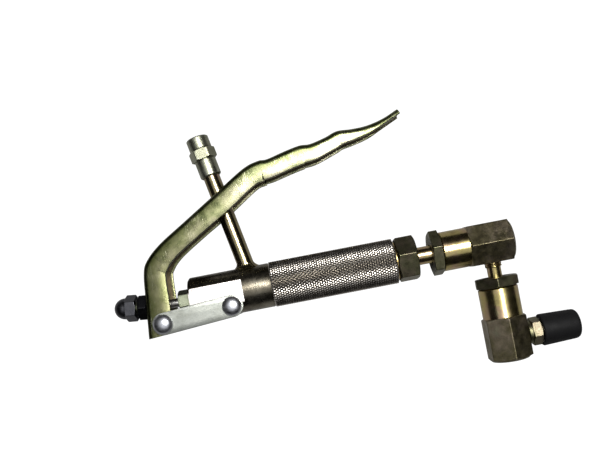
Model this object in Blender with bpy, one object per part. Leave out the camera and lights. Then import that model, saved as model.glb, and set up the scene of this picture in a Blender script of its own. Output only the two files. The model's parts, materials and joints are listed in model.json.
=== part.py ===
"""Grease control gun: a lever-operated valve body with an inlet pipe and a double-swivel outlet.

Lengths below are millimetres in the gun's own frame: u runs along the valve body towards the outlet,
v points from the body to the lever, z is the gun's thickness. The gun lies on its side, and z = 0 is
its plane of symmetry. Every vertex is written in metres, with the bounding box's bottom centre as the
world origin.
"""
import math

import bmesh
import bpy
from mathutils import Matrix, Vector

MM = 0.001

# ---------------------------------------------------------------- driving sizes, in mm
HEAD_TOP = 19.4          # the rivet heads are the lowest and highest points
U_MIN, U_MAX = -47.217, 241.8
V_MIN, V_MAX = -75.8, 102.16
ORIGIN = Vector(((U_MIN + U_MAX) / 2, (V_MIN + V_MAX) / 2, -HEAD_TOP))

BODY_R, BODY_REAR, BODY_FRONT = 14.1, 2.5, 134.3
FLAT_Z, FLAT_END = 12.2, 36.6
KNURL_R, KNURL_START = 14.5, 54.9
STEM_R = 3.0
GAP = 0.3                # running clearance between separate pieces

PIPE_FOOT, PIPE_TOP = Vector((40.4, 15.7)), Vector((24.7, 101.0))
PIPE_R = 5.3

OUTLET_AF, OUTLET_START, OUTLET_END = 26.2, 135.5, 148.2
SWIVEL_1_START = 157.6   # front of gland nut 1, along u
SWIVEL_2_START = 22.2    # front of gland nut 2, along -v from the body's axis
NECK_1_R, NECK_2_R = 5.7, 4.45
BARREL_R, SWIVEL_AF = 12.6, 25.6
GLAND_AF, GLAND_LEN = 26.0, 6.3
AXIS_2_U = SWIVEL_1_START + 38.1
COUPLER_V = -(SWIVEL_2_START + 38.7)

PIN_A = Vector((-15.2, -11.3))   # lever pin
PIN_B = Vector((28.6, -8.2))     # link pin in the body
PIN_R, HEAD_R = 3.0, 6.1
WALL_T, LEVER_HALF = 2.5, 12.1   # lever's sheet, and half its outside width
LINK_IN, LINK_OUT, LINK_HALF = 12.4, 15.2, 7.0

SCREW_TILT = math.radians(6.5)   # the lever's lower leg leans by this much
NOSE_R = 4.0
NOSE_C = Vector((-19.0, 0.0))    # centre of the adjusting screw's round nose, on the valve's axis
CUP_R = NOSE_R + GAP


# ---------------------------------------------------------------- scene and frames
for old in list(bpy.data.objects):
    bpy.data.objects.remove(old, do_unlink=True)


def axes(origin, along, side):
    """A frame in mm whose local z runs along one direction and whose local x points to side."""
    z = Vector(along).normalized()
    x = (Vector(side) - z * z.dot(Vector(side))).normalized()
    y = z.cross(x)
    frame = Matrix((x, y, z)).transposed().to_4x4()
    frame.translation = Vector(origin)
    return frame


UP = (0, 0, 1)
BODY_AXIS = axes((0, 0, 0), (1, 0, 0), UP)
SWIVEL_1 = axes((SWIVEL_1_START, 0, 0), (1, 0, 0), UP)
SWIVEL_2 = axes((AXIS_2_U, -SWIVEL_2_START, 0), (0, -1, 0), UP)
COUPLER = axes((0, COUPLER_V, 0), (1, 0, 0), UP)
PIPE_DIR = (PIPE_TOP - PIPE_FOOT).normalized()
PIPE = axes((PIPE_TOP.x, PIPE_TOP.y, 0), (-PIPE_DIR.x, -PIPE_DIR.y, 0), UP)
SCREW_DIR = Vector((-math.cos(SCREW_TILT), math.sin(SCREW_TILT)))
SCREW = axes((NOSE_C.x, NOSE_C.y, 0), (SCREW_DIR.x, SCREW_DIR.y, 0), UP)
AT_A = axes((PIN_A.x, PIN_A.y, 0), UP, (1, 0, 0))
AT_B = axes((PIN_B.x, PIN_B.y, 0), UP, (1, 0, 0))


def world(point):
    """Gun frame in mm to world metres."""
    return (Vector(point) - ORIGIN) * MM


def empty(name, point, parent=None):
    holder = bpy.data.objects.new(name, None)
    bpy.context.collection.objects.link(holder)
    holder.empty_display_size = 0.01
    holder.location = world(point)
    if parent is not None:
        holder.parent = parent
        holder.location = world(point) - parent.matrix_world.translation
    bpy.context.view_layer.update()
    return holder


GUN = bpy.data.objects.new("grease_gun", None)
bpy.context.collection.objects.link(GUN)
LINK_JOINT = empty("link_pivot", (PIN_B.x, PIN_B.y, 0), GUN)
LEVER_JOINT = empty("lever_squeeze", (PIN_A.x, PIN_A.y, 0), LINK_JOINT)
STEM_JOINT = empty("stem_slide", (0, 0, 0), GUN)
SWIVEL_1_JOINT = empty("swivel_1_turn", (AXIS_2_U, 0, 0), GUN)
SWIVEL_2_JOINT = empty("swivel_2_turn", (AXIS_2_U, COUPLER_V, 0), SWIVEL_1_JOINT)

# colour, metallic, roughness
FINISHES = {
    "olive_zinc": ((0.30, 0.28, 0.16), 0.9, 0.35),
    "gold_zinc": ((0.46, 0.38, 0.18), 0.9, 0.32),
    "lever_zinc": ((0.50, 0.50, 0.26), 0.85, 0.38),
    "grip_steel": ((0.17, 0.15, 0.13), 0.9, 0.42),
    "bright_steel": ((0.62, 0.60, 0.58), 1.0, 0.3),
    "dark_steel": ((0.06, 0.06, 0.065), 0.8, 0.4),
    "brass": ((0.60, 0.44, 0.18), 1.0, 0.35),
    "packing": ((0.75, 0.73, 0.68), 0.0, 0.6),
    "rubber": ((0.015, 0.015, 0.015), 0.0, 0.65),
}


def finish(obj, kind):
    colour, metallic, roughness = FINISHES[kind]
    material = bpy.data.materials.new(obj.name)
    material.use_nodes = True
    shader = material.node_tree.nodes["Principled BSDF"]
    shader.inputs["Base Color"].default_value = (*colour, 1.0)
    shader.inputs["Metallic"].default_value = metallic
    shader.inputs["Roughness"].default_value = roughness
    material.diffuse_color = (*colour, 1.0)
    obj.data.materials.append(material)


def put(name, bm, frame, parent, kind=None):
    """Write a bmesh, given in a frame's mm, as an object under its joint's empty."""
    bm.transform(Matrix.Scale(MM, 4) @ Matrix.Translation(-ORIGIN) @ frame)
    bmesh.ops.recalc_face_normals(bm, faces=bm.faces)
    home = parent.matrix_world.translation
    bmesh.ops.translate(bm, vec=-home, verts=bm.verts)
    mesh = bpy.data.meshes.new(name)
    bm.to_mesh(mesh)
    bm.free()
    obj = bpy.data.objects.new(name, mesh)
    bpy.context.collection.objects.link(obj)
    obj.parent = parent
    if kind is not None:
        finish(obj, kind)
    return obj


def cut(obj, name, bm, frame, parent):
    """Take a cutter away from an object with a Boolean modifier."""
    cutter = put(name, bm, frame, parent)
    cutter.hide_render = True
    cutter.display_type = "WIRE"
    modifier = obj.modifiers.new(name, "BOOLEAN")
    modifier.operation = "DIFFERENCE"
    modifier.solver = "EXACT"
    modifier.object = cutter


# ---------------------------------------------------------------- shapes
def turned(profile, segments=32, phase=0.0):
    """Spin a closed (z, r) profile. Points with r = 0 lie on the axis."""
    bm = bmesh.new()
    rings = []
    for z, r in profile:
        if r == 0:
            rings.append([bm.verts.new((0, 0, z))])
            continue
        turn = [phase + 2 * math.pi * i / segments for i in range(segments)]
        rings.append([bm.verts.new((r * math.cos(a), r * math.sin(a), z)) for a in turn])
    for one, two in zip(rings, rings[1:] + rings[:1]):
        if len(one) == 1 and len(two) == 1:
            continue
        for i in range(segments):
            j = (i + 1) % segments
            quad = [one[i % len(one)], one[j % len(one)], two[j % len(two)], two[i % len(two)]]
            corners = []
            for vert in quad:
                if vert not in corners:
                    corners.append(vert)
            bm.faces.new(corners)
    return bm


def rod(z0, z1, r, segments=32, phase=0.0):
    return turned([(z0, 0), (z0, r), (z1, r), (z1, 0)], segments, phase)


def hex_ring(across_flats, z0, z1, outer, corner=0.0):
    """A round blank's outside less a hexagon: what milling removes. corner is a corner's angle."""
    bm = bmesh.new()
    corner_r = across_flats / math.sqrt(3)
    loops = []
    for z in (z0, z1):
        inner = []
        outside = []
        for i in range(6):
            a = corner + i * math.pi / 3
            inner.append(bm.verts.new((corner_r * math.cos(a), corner_r * math.sin(a), z)))
            outside.append(bm.verts.new((outer * math.cos(a), outer * math.sin(a), z)))
        loops.append((inner, outside))
    for i in range(6):
        j = (i + 1) % 6
        (in0, out0), (in1, out1) = loops
        bm.faces.new([in0[i], in0[j], in1[j], in1[i]])
        bm.faces.new([out0[i], out1[i], out1[j], out0[j]])
        bm.faces.new([in0[i], out0[i], out0[j], in0[j]])
        bm.faces.new([in1[i], in1[j], out1[j], out1[i]])
    return bm


def box(x0, x1, y0, y1, z0, z1):
    bm = bmesh.new()
    bmesh.ops.create_cube(bm, size=1)
    bm.transform(
        Matrix.Translation(((x0 + x1) / 2, (y0 + y1) / 2, (z0 + z1) / 2))
        @ Matrix.Diagonal((x1 - x0, y1 - y0, z1 - z0, 1))
    )
    return bm


def arc(centre, r, start, end, steps):
    """Points of an arc, angles in degrees."""
    for i in range(steps + 1):
        a = math.radians(start + (end - start) * i / steps)
        yield centre[0] + r * math.cos(a), centre[1] + r * math.sin(a)


def prism(outline, z0, z1):
    bm = bmesh.new()
    low = [bm.verts.new((x, y, z0)) for x, y in outline]
    high = [bm.verts.new((x, y, z1)) for x, y in outline]
    bm.faces.new(low)
    bm.faces.new(high)
    for i in range(len(low)):
        j = (i + 1) % len(low)
        bm.faces.new([low[i], low[j], high[j], high[i]])
    return bm


def ring(centre_r, wire_r, z, around=20, about=8):
    """A torus, as a turned circle."""
    loop = arc((z, centre_r), wire_r, 0, 360 * (about - 1) / about, about - 1)
    return turned(list(loop), around)


def coil(radius, wire_r, z0, z1, turns, steps=10, about=5):
    """A coil spring with closed flat ends."""
    bm = bmesh.new()
    count = int(turns * steps)
    loops = []
    for k in range(count + 1):
        angle = 2 * math.pi * k / steps
        t = min(max((k - steps) / (count - 2 * steps), 0.0), 1.0)
        lift = 2.3 * wire_r
        z = z0 + lift * min(k / steps, 1) + (z1 - z0 - 2 * lift) * t
        z += lift * max((k - count + steps) / steps, 0)
        loop = []
        for i in range(about):
            a = 2 * math.pi * i / about
            r = radius + wire_r * math.cos(a)
            loop.append(bm.verts.new((r * math.cos(angle), r * math.sin(angle), z + wire_r * math.sin(a))))
        loops.append(loop)
    for one, two in zip(loops, loops[1:]):
        for i in range(about):
            j = (i + 1) % about
            bm.faces.new([one[i], one[j], two[j], two[i]])
    bm.faces.new(loops[0])
    bm.faces.new(loops[-1])
    return bm


def chamfered_hex(name, across_flats, z0, z1, bore, frame, parent, kind, corner=0.0, rest=(), before=()):
    """A hexagon milled from a chamfered blank, with outside (z, r) points before z0 and after z1."""
    corner_r = across_flats / math.sqrt(3)
    cham = corner_r - across_flats / 2
    blank = list(before) + [(z0, across_flats / 2 - 0.2), (z0 + cham * 0.6, corner_r + 0.05)]
    blank += [(z1 - cham * 0.6, corner_r + 0.05), (z1, across_flats / 2 - 0.2)]
    blank += list(rest) + list(reversed(bore))
    obj = put(name, turned(blank, 30), frame, parent, kind)
    cut(obj, name + "_flats", hex_ring(across_flats, z0 - 0.5, z1, corner_r + 4, corner), frame, parent)
    return obj


# ---------------------------------------------------------------- valve body
body_profile = [
    (BODY_REAR, BODY_R - 1.3), (BODY_REAR + 1.3, BODY_R), (KNURL_START - 0.3, BODY_R), (KNURL_START, KNURL_R),
    (BODY_FRONT - 0.5, KNURL_R), (BODY_FRONT, KNURL_R - 0.7),
    (BODY_FRONT, 9.2), (124.0, 9.2), (124.0, 7.2), (52.0, 7.2), (52.0, 6.5),
    (35.0, 6.5), (35.0, STEM_R + GAP), (17.3, STEM_R + GAP), (17.3, 5.8), (BODY_REAR, 5.8),
]
valve_body = put("valve_body", turned(body_profile, 40), BODY_AXIS, GUN, "grip_steel")
for side, z0, z1 in (("top", FLAT_Z, 20), ("bottom", -20, -FLAT_Z)):
    cut(valve_body, "mill_" + side, box(BODY_REAR - 1, FLAT_END, -10, 10, z0, z1), Matrix(), GUN)
pin_hole = rod(-20, 20, PIN_R + 0.1, 24)
cut(valve_body, "link_pin_hole", pin_hole, AT_B, GUN)
pipe_len = (PIPE_TOP - PIPE_FOOT).length
inlet_hole = rod(pipe_len - 2, pipe_len + 12, 3.0, 20)
cut(valve_body, "inlet_hole", inlet_hole, PIPE, GUN)

# packing gland at the rear
NUT_REAR, NUT_FRONT = -5.4, BODY_REAR - 0.2
chamfered_hex(
    "packing_nut", 13.0, NUT_REAR, NUT_FRONT, [(NUT_REAR, 3.3), (8.0, 3.3)], BODY_AXIS, GUN, "olive_zinc",
    math.radians(24), [(NUT_FRONT, 5.4), (8.0, 5.4)])
put("packing_washer", turned([(8.3, 3.3), (8.3, 5.5), (9.5, 5.5), (9.5, 3.3)], 24), BODY_AXIS, GUN, "brass")
put("stem_packing", turned([(9.7, 3.1), (9.7, 5.6), (17.0, 5.6), (17.0, 3.1)], 24), BODY_AXIS, GUN, "packing")

# valve seat, ball, spring and its stop, in the body's front bore
seat = [(52.3, 2.7), (52.3, 6.9), (58.0, 6.9), (58.0, 3.6), (57.0, 2.7)]
put("valve_seat", turned(seat, 24), BODY_AXIS, GUN, "bright_steel")
BALL_R, BALL_U = 4.5, 61.0
ball = [(BALL_U + x, abs(y)) for x, y in arc((0, 0), BALL_R, 180, 0, 8)]
ball[0], ball[-1] = (BALL_U - BALL_R, 0), (BALL_U + BALL_R, 0)
put("valve_ball", turned(ball, 16), BODY_AXIS, STEM_JOINT, "bright_steel")
put("return_spring", coil(3.6, 0.6, 65.0, 87.8, 8.0), BODY_AXIS, GUN, "bright_steel")
put("spring_stop", turned([(88.6, 3.0), (88.6, 6.9), (123.6, 6.9), (123.6, 3.0)], 24), BODY_AXIS, GUN, "bright_steel")

# stem: a cupped button, a rod through the packing, and a nose that reaches through the seat
cup = [(NOSE_C.x + x, y) for x, y in arc((0, 0), CUP_R, 0, math.degrees(math.acos(1.8 / CUP_R)), 5)]
cup[0] = (NOSE_C.x + CUP_R, 0)
stem = cup + [(-17.2, 4.6), (-12.4, 4.6), (-11.8, STEM_R), (46.0, STEM_R), (47.0, 1.8), (56.2, 1.8), (56.2, 0)]
put("valve_stem", turned(stem, 24), BODY_AXIS, STEM_JOINT, "bright_steel")

# ---------------------------------------------------------------- inlet pipe and fitting
FITTING_LEN = 26.5
pipe_profile = [
    (9.0, 3.0), (9.0, PIPE_R), (pipe_len - 3.2, PIPE_R), (pipe_len - 1.2, PIPE_R + 0.9),
    (pipe_len + 0.6, PIPE_R + 2.2), (pipe_len + 6.0, PIPE_R + 2.4), (pipe_len + 6.0, 3.0),
]
inlet_pipe = put("inlet_pipe", turned(pipe_profile, 32), PIPE, GUN, "olive_zinc")
cut(inlet_pipe, "pipe_saddle", rod(20, 60, BODY_R + 0.05, 40), BODY_AXIS, GUN)
fitting_bore = [(0, 4.9), (8.5, 4.9), (8.5, PIPE_R + GAP), (FITTING_LEN, PIPE_R + GAP)]
fitting_outside = [
    (0, 6.4), (0.8, 7.2), (8.2, 7.2), (8.2, 7.3), (8.9, 8.7), (14.3, 8.7), (15.0, 7.3), (15.0, 6.8),
    (FITTING_LEN - 1, 6.8), (FITTING_LEN, 5.9),
]
inlet_fitting = put("inlet_fitting", turned(fitting_outside + fitting_bore[::-1], 32), PIPE, GUN, "olive_zinc")
cut(inlet_fitting, "fitting_flats", hex_ring(15.0, 8.2, 15.0, 14, math.radians(30)), PIPE, GUN)

# ---------------------------------------------------------------- outlet adapter and the two swivels
put("outlet_washer", turned([(134.55, 8.9), (134.55, 12.2), (135.2, 12.2), (135.2, 8.9)], 36), BODY_AXIS, GUN, "brass")
adapter_blank = [
    (124.2, 8.6), (OUTLET_START - 0.05, 8.6), (OUTLET_START, 13.0), (OUTLET_START + 1, 15.2),
    (OUTLET_END - 1, 15.2), (OUTLET_END, 13.0), (OUTLET_END, 5.4), (134.0, 5.4), (134.0, 3.0), (124.2, 3.0),
]
adapter = put("outlet_adapter", turned(adapter_blank, 30), BODY_AXIS, GUN, "olive_zinc")
outlet_corner = math.radians(-11)
cut(adapter, "adapter_flats", hex_ring(OUTLET_AF, OUTLET_START, OUTLET_END + 1, 19, outlet_corner), BODY_AXIS, GUN)

FLANGE = (13.3, 17.2)
TAIL_END = 25.0


def spindle(name, frame, parent, thread, neck_r):
    """A hollow spindle: threaded end, collar, neck, thrust flange and sealed tail, in a swivel's frame."""
    start, shoulder, neck_start = thread
    profile = [
        (start, 4.8), (shoulder, 4.8), (shoulder, 5.3), (neck_start, 5.3), (neck_start + 0.3, neck_r),
        (FLANGE[0], neck_r), (FLANGE[0], 9.0), (FLANGE[1], 9.0), (FLANGE[1], 5.0), (TAIL_END, 5.0),
        (TAIL_END, 1.75), (start, 1.75),
    ]
    return put(name, turned(profile, 24), frame, parent, "gold_zinc")


def swivel(number, frame, parent, neck_r, gland_corner, barrel_end, length):
    """Gland nut, barrel with hexagonal end and side port, thrust washer and seal ring."""
    tag = f"_{number}"
    chamfered_hex(
        "gland_nut" + tag, GLAND_AF, 0, GLAND_LEN, [(0, neck_r + 0.4), (11.5, neck_r + 0.4)], frame, parent,
        "olive_zinc", gland_corner, [(GLAND_LEN, 9.2), (11.5, 9.2)])
    washer = [(11.8, neck_r + 0.4), (11.8, 9.1), (13.0, 9.1), (13.0, neck_r + 0.4)]
    put("thrust_washer" + tag, turned(washer, 28), frame, parent, "brass")
    put("seal_ring" + tag, ring(6.05, 0.8, 21.2, 20, 8), frame, parent, "rubber")
    corner_r = SWIVEL_AF / math.sqrt(3)
    barrel_from = GLAND_LEN + 0.3
    profile = [
        (barrel_from, BARREL_R - 0.6), (barrel_from + 0.6, BARREL_R), (barrel_end, BARREL_R),
        (barrel_end, corner_r - 0.9), (barrel_end + 0.6, corner_r + 0.05), (length - 2.4, corner_r + 0.05),
        (length - 1.4, SWIVEL_AF / 2 + 0.2), (length, 11.0), (length, 0), (42.0, 0), (42.0, 3.0),
        (27.0, 3.0), (27.0, 5.3), (22.5, 5.3), (22.5, 7.1), (19.9, 7.1), (19.9, 5.3), (18.0, 5.3),
        (18.0, 9.5), (barrel_from, 9.5),
    ]
    barrel = put("swivel_body" + tag, turned(profile, 30), frame, parent, "gold_zinc")
    flats = hex_ring(SWIVEL_AF, barrel_end, length + 1, 20, 0.0)
    cut(barrel, "swivel_flats" + tag, flats, frame, parent)
    return barrel


spindle("swivel_spindle_1", SWIVEL_1, GUN, (-23.0, -9.6, -9.2), NECK_1_R)
barrel_1 = swivel(1, SWIVEL_1, SWIVEL_1_JOINT, NECK_1_R, math.radians(-14), 23.7, 52.25)
port_1 = rod(1, 20, 5.1, 24)
cut(barrel_1, "port_1", port_1, axes((AXIS_2_U, 0, 0), (0, -1, 0), UP), SWIVEL_1_JOINT)
side_thread = (6.0 - SWIVEL_2_START, 13.1 - SWIVEL_2_START, 15.4 - SWIVEL_2_START)
spindle("swivel_spindle_2", SWIVEL_2, SWIVEL_1_JOINT, side_thread, NECK_2_R)
barrel_2 = swivel(2, SWIVEL_2, SWIVEL_2_JOINT, NECK_2_R, math.radians(10), 25.7, 53.6)
port_2 = rod(AXIS_2_U + 1, AXIS_2_U + 20, 5.1, 24)
cut(barrel_2, "port_2", port_2, COUPLER, SWIVEL_2_JOINT)

# ---------------------------------------------------------------- grease coupler
COLLAR_START, HEX_START, HEX_END = 209.0, 211.0, 217.0
collar = [(203.0, 4.8), (COLLAR_START, 4.8), (COLLAR_START, 7.4), (HEX_START, 7.4)]
chamfered_hex(
    "coupler_adapter", 16.0, HEX_START, HEX_END, [(203.0, 1.6), (222.0, 1.6)], COUPLER, SWIVEL_2_JOINT,
    "olive_zinc", math.radians(16), [(HEX_END, 5.9), (222.0, 5.9)], collar)
sleeve = [
    (217.6, 6.2), (217.6, 7.8), (238.5, 7.8), (239.8, 6.6), (239.8, 5.2), (233.5, 6.2),
]
put("coupler_body", turned(sleeve, 28), COUPLER, SWIVEL_2_JOINT, "bright_steel")
put("coupler_spring", coil(4.6, 0.45, 222.9, 226.3, 3.5), COUPLER, SWIVEL_2_JOINT, "bright_steel")
cup_seal = [(226.8, 1.4), (226.8, 5.6), (230.4, 5.6), (230.4, 3.0), (228.6, 1.4)]
put("coupler_seal", turned(cup_seal, 20), COUPLER, SWIVEL_2_JOINT, "rubber")


def jaw(number):
    """One of three jaws: a sector of a ring whose outside tapers towards the mouth."""
    centre = number * 120
    bm = bmesh.new()
    inner, outer = 3.6, 5.8
    loops = []
    for z, taper, lip in ((230.8, 0, 0), (233.4, 0, 0), (237.0, 0.6, 0), (239.6, 1.05, 0.4)):
        loop = [bm.verts.new((x, y, z)) for x, y in arc((0, 0), inner - lip, centre - 52, centre + 52, 7)]
        loop += [bm.verts.new((x, y, z)) for x, y in arc((0, 0), outer - taper, centre + 52, centre - 52, 7)]
        loops.append(loop)
    for one, two in zip(loops, loops[1:]):
        for i in range(len(one)):
            j = (i + 1) % len(one)
            bm.faces.new([one[i], one[j], two[j], two[i]])
    bm.faces.new(loops[0])
    bm.faces.new(loops[-1])
    put(f"coupler_jaw_{number}", bm, COUPLER, SWIVEL_2_JOINT, "dark_steel")


for number in (1, 2, 3):
    jaw(number)
boot = [
    (217.3, 8.1), (217.3, 9.5), (218.0, 10.2), (237.8, 9.5)]
boot += [(x, y) for x, y in arc((238.9, 6.5), 2.9, 75, 0, 5)]
boot += [(241.4, 5.6), (240.2, 5.4), (240.2, 8.1)]
put("coupler_boot", turned(boot, 28), COUPLER, SWIVEL_2_JOINT, "rubber")

# ---------------------------------------------------------------- lever
# outside of the web: u, v, depth of the channel there, half width
LEVER_STATIONS = [
    (-27.1, -19.5, 16.9, 12.1), (-26.8, -16.4, 16.6, 12.1), (-25.0, 1.05, 15.5, 12.1),
    (-22.8, 21.2, 14.4, 12.1), (-19.0, 29.6, 14.4, 12.1), (-9.1, 38.35, 13.3, 12.1),
    (8.6, 49.2, 13.0, 12.1), (29.0, 61.6, 13.6, 12.1), (50.2, 74.5, 13.2, 12.1),
    (60.6, 77.85, 13.6, 12.1), (66.7, 77.9, 12.3, 12.1), (78.2, 80.6, 12.3, 12.1),
    (88.2, 82.4, 12.2, 12.1), (95.0, 82.15, 10.9, 12.1), (104.65, 84.3, 9.9, 11.9),
    (112.95, 86.95, 9.75, 11.6), (122.0, 86.6, 7.65, 11.2), (131.95, 87.0, 5.6, 10.6),
    (143.2, 89.6, 3.4, 9.8), (152.95, 93.8, 3.4, 8.6),
]


def lever_path():
    """Stations with a smooth curve between them, three steps each."""
    points = [Vector(s) for s in LEVER_STATIONS]
    ends = [points[0] * 2 - points[1]] + points + [points[-1] * 2 - points[-2]]
    path = []
    for k in range(1, len(points)):
        p0, p1, p2, p3 = ends[k - 1:k + 3]
        for step in range(3):
            t = step / 3
            path.append(0.5 * (
                2 * p1 + (p2 - p0) * t + (2 * p0 - 5 * p1 + 4 * p2 - p3) * t ** 2
                + (3 * p1 - p0 - 3 * p2 + p3) * t ** 3))
    path.append(points[-1])
    return path


def channel_section(depth, half):
    """The U's closed outline: (sideways z, distance in from the web's outside)."""
    bend, inside = 3.4, 1.2
    edge = half - WALL_T
    outside = [(-half, depth), (-half, bend)]
    outside += [(-half + bend + x, bend + y) for x, y in arc((0, 0), bend, 180, 270, 3)][1:]
    outside += [(half - bend + x, bend + y) for x, y in arc((0, 0), bend, 270, 360, 3)]
    inner = [(half, depth), (edge, depth)]
    floor = min(WALL_T + inside, depth - 0.2)
    inner += [(edge, floor), (edge - inside, WALL_T), (-edge + inside, WALL_T), (-edge, floor), (-edge, depth)]
    return outside + inner


def lever_mesh():
    bm = bmesh.new()
    path = lever_path()
    loops = []
    for k, point in enumerate(path):
        ahead = path[min(k + 1, len(path) - 1)] - path[max(k - 1, 0)]
        tangent = Vector((ahead[0], ahead[1])).normalized()
        inward = Vector((tangent.y, -tangent.x))
        loop = []
        for side, deep in channel_section(point[2], point[3]):
            place = Vector((point[0], point[1])) + inward * deep
            loop.append(bm.verts.new((place.x, place.y, side)))
        loops.append(loop)
    for one, two in zip(loops, loops[1:]):
        for i in range(len(one)):
            j = (i + 1) % len(one)
            bm.faces.new([one[i], one[j], two[j], two[i]])
    bm.faces.new(loops[0])
    bm.faces.new(loops[-1])
    return bm


lever = put("lever", lever_mesh(), Matrix(), LEVER_JOINT, "lever_zinc")
cut(lever, "lever_pin_hole", rod(-20, 20, PIN_R + 0.25, 24), AT_A, LEVER_JOINT)
cut(lever, "screw_hole", rod(2.0, 10.0, 4.3, 24), SCREW, LEVER_JOINT)
# the foot ends level with the links' lower edge
foot_line = (PIN_B - PIN_A).normalized()
foot_frame = axes((PIN_A.x, PIN_A.y, 0), UP, (foot_line.x, foot_line.y, 0))
cut(lever, "foot_trim", box(-30, 30, -30, -LINK_HALF, -20, 20), foot_frame, LEVER_JOINT)
# slot for the inlet pipe: the lever rides over it as it is squeezed
SLOT_HALF, SLOT_FROM, SLOT_TO = 6.8, 11.5, 44.0
slot_outline = [(y, x) for x, y in arc((SLOT_TO - SLOT_HALF, 0), SLOT_HALF, 90, -90, 8)]
slot_outline += [(y, x) for x, y in arc((SLOT_FROM + SLOT_HALF, 0), SLOT_HALF, 270, 90, 8)]
slot_frame = axes((0, 46.0, 0), (-0.5, 0.866, 0), UP)
cut(lever, "pipe_slot", prism(slot_outline, -9, 9), slot_frame, LEVER_JOINT)

# ---------------------------------------------------------------- links, pins, adjusting screw
span = (PIN_A - PIN_B).length
lean = math.degrees(math.atan2(PIN_A.y - PIN_B.y, PIN_A.x - PIN_B.x))
link_outline = list(arc((0, 0), LINK_HALF, 90, -90, 10))
link_outline += list(arc((-span, 0), LINK_HALF, 270, 90, 10))
link_frame = AT_B @ Matrix.Rotation(math.radians(lean - 180), 4, "Z")
for name, z0, z1 in (("link_plate_upper", LINK_IN, LINK_OUT), ("link_plate_lower", -LINK_OUT, -LINK_IN)):
    plate = put(name, prism(link_outline, z0, z1), link_frame, LINK_JOINT, "olive_zinc")
    cut(plate, name + "_hole_a", rod(-20, 20, PIN_R + 0.25, 24), AT_A, LINK_JOINT)
    cut(plate, name + "_hole_b", rod(-20, 20, PIN_R + 0.25, 24), AT_B, LINK_JOINT)

HEAD_FROM = LINK_OUT + 0.2


def rivet(name, frame, parent):
    """A pin with a domed head at each end."""
    rise = HEAD_TOP - HEAD_FROM - 0.6
    dome = [(HEAD_FROM, PIN_R), (HEAD_FROM, HEAD_R)]
    dome += [(HEAD_FROM + 0.6 + rise * math.sin(a), HEAD_R * math.cos(a)) for a in (0, 0.35, 0.7, 1.05, 1.35)]
    dome += [(HEAD_TOP, 0)]
    profile = [(-z, r) for z, r in reversed(dome)] + dome
    put(name, turned(profile, 20), frame, parent, "bright_steel")


rivet("lever_pin", AT_A, LINK_JOINT)
rivet("body_link_pin", AT_B, GUN)

SCREW_LEN = 25.6
nose = [(-y, x) for x, y in arc((0, 0), NOSE_R, 90, 0, 6)]
nose[0] = (-NOSE_R, 0)
put("adjusting_screw", turned(nose + [(SCREW_LEN, NOSE_R), (SCREW_LEN, 0)], 24), SCREW, LEVER_JOINT, "olive_zinc")
WEB_OUT = 6.4            # the web's outer face, along the screw from its nose's centre
NUT_LEN = 5.85
nut_hole = NOSE_R + 0.15
chamfered_hex(
    "lock_nut", 15.5, WEB_OUT + 0.1, WEB_OUT + NUT_LEN, [(WEB_OUT + 0.1, nut_hole), (WEB_OUT + NUT_LEN, nut_hole)],
    SCREW, LEVER_JOINT, "dark_steel")
CAP_START = WEB_OUT + NUT_LEN + 1.6
CAP_HEX_END = CAP_START + 6.8
DOME_R = 6.75
dome_end = CAP_HEX_END + 1.0
cap_rest = [(CAP_HEX_END, DOME_R), (dome_end, DOME_R)]
cap_rest += [(dome_end + x, y) for x, y in arc((0, 0), DOME_R, 90, 0, 6)][1:-1] + [(dome_end + DOME_R, 0)]
cap_bore = [(CAP_START, nut_hole), (SCREW_LEN + 0.6, nut_hole), (SCREW_LEN + 0.6, 0)]
chamfered_hex("acorn_nut", 15.0, CAP_START, CAP_HEX_END, cap_bore, SCREW, LEVER_JOINT, "dark_steel",
              math.radians(30), cap_rest)
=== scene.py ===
"""Looks of the grease control gun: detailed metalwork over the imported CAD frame, plated finishes,
a white table and one camera straight above.

Lengths are millimetres in the gun's own frame: u along the valve body, v towards the lever, z up.
Turned pieces are drawn in an axis frame, whose z runs along the piece and whose x points up.
"""
import json
import math

import bmesh
import bpy
from mathutils import Matrix, Vector, noise


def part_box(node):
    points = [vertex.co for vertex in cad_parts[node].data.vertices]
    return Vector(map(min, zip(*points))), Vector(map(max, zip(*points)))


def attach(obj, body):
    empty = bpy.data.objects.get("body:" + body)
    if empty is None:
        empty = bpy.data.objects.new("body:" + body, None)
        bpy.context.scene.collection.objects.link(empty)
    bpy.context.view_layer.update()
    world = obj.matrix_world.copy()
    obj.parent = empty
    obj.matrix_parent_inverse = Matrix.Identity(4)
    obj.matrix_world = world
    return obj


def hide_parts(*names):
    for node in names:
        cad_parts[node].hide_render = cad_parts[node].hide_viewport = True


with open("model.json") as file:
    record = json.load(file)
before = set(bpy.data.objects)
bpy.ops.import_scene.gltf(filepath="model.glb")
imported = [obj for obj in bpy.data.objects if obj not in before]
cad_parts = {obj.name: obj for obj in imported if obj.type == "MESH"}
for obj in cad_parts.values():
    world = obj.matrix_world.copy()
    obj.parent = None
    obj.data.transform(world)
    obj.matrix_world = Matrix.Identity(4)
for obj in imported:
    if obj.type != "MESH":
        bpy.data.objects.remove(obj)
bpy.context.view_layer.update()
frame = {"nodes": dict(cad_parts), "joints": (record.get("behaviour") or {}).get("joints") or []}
nodes = frame["nodes"]
joints = {joint["name"]: joint for joint in frame["joints"]}

# ---------------------------------------------------------------- places, from the CAD frame
MM = 0.001
BODY_REAR = 2.5          # the body's rear face, ahead of the gun's origin
body_low, body_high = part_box("valve_body")
ORIGIN = (body_low + body_high) / 2
ORIGIN.x = body_low.x - BODY_REAR * MM


def gun(point):
    """World metres to the gun's frame in mm."""
    return (Vector(point) - ORIGIN) / MM


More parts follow.
